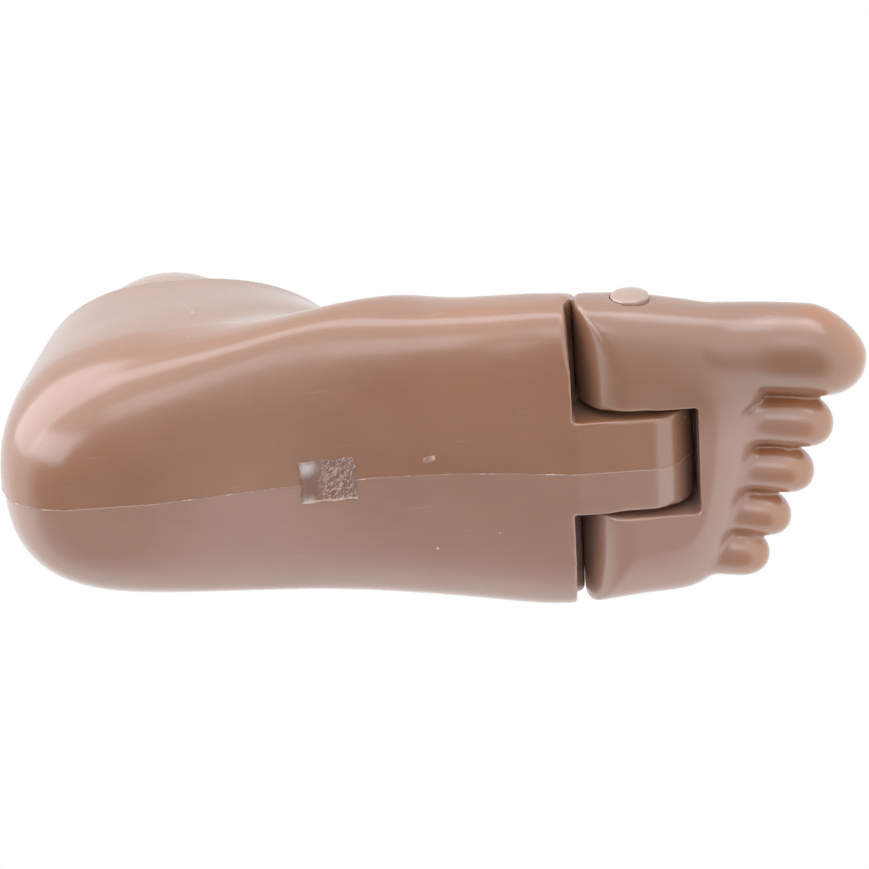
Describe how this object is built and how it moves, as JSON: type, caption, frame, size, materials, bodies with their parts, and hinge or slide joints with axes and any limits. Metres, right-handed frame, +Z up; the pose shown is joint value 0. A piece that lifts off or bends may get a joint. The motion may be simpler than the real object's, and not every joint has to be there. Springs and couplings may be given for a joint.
{
  "type": "prosthetic foot",
  "caption": "Life-size left prosthetic foot in moulded skin-tone plastic, with a toe section hinged on a cross pin and a ball ankle that tilts and turns.",
  "frame": {"origin": "ground, under the centre of the foot's bounding box", "axes": "+X towards the toes, +Y lateral (the foot's left), +Z up"},
  "size_m": [0.2434, 0.0936, 0.1116],
  "materials": {
    "rear_medial_plastic": "semi-gloss moulded skin-tone plastic",
    "rear_lateral_plastic": "semi-gloss moulded skin-tone plastic",
    "steel": "bright",
    "nylon": "natural nylon",
    "toe_plastic": "semi-gloss moulded skin-tone plastic",
    "pin_plastic": "semi-gloss moulded skin-tone plastic",
    "ball_plastic": "semi-gloss moulded skin-tone plastic",
    "brass": "turned"
  },
  "bodies": {
    "rear_foot": {"rear_shell_medial": "rear_medial_plastic", "rear_shell_lateral": "rear_lateral_plastic", "shell_screw_heel": "steel", "shell_screw_ankle": "steel", "shell_screw_arch": "steel", "shell_screw_hinge": "steel", "hinge_bush": "nylon"},
    "toe_section": {"toe_body": "toe_plastic", "hinge_pin": "pin_plastic", "hinge_pin_cap": "pin_plastic", "hinge_washer_medial": "nylon", "hinge_washer_lateral": "nylon"},
    "ankle_spindle_body": {"ankle_spindle": "steel", "spindle_washer": "steel", "spindle_nut": "steel"},
    "ankle_ball_body": {"ankle_ball": "ball_plastic", "ball_pin": "steel", "leg_insert": "brass"}
  },
  "joints": [
    {"name": "toe_hinge", "type": "hinge", "parent": "rear_foot", "child": "toe_section", "pos_m": [0.05719, 0.00038, 0.0155], "axis": [0, -1, 0], "range_deg": [-30, 60]},
    {"name": "ankle_turn", "type": "hinge", "parent": "rear_foot", "child": "ankle_spindle_body", "pos_m": [-0.07531, 0.00038, 0.038], "axis": [0, 0, 1], "range_deg": [-35, 35]},
    {"name": "ankle_tilt", "type": "hinge", "parent": "ankle_spindle_body", "child": "ankle_ball_body", "pos_m": [-0.07531, 0.00038, 0.0886], "axis": [0, -1, 0], "range_deg": [-25, 25]}
  ]
}
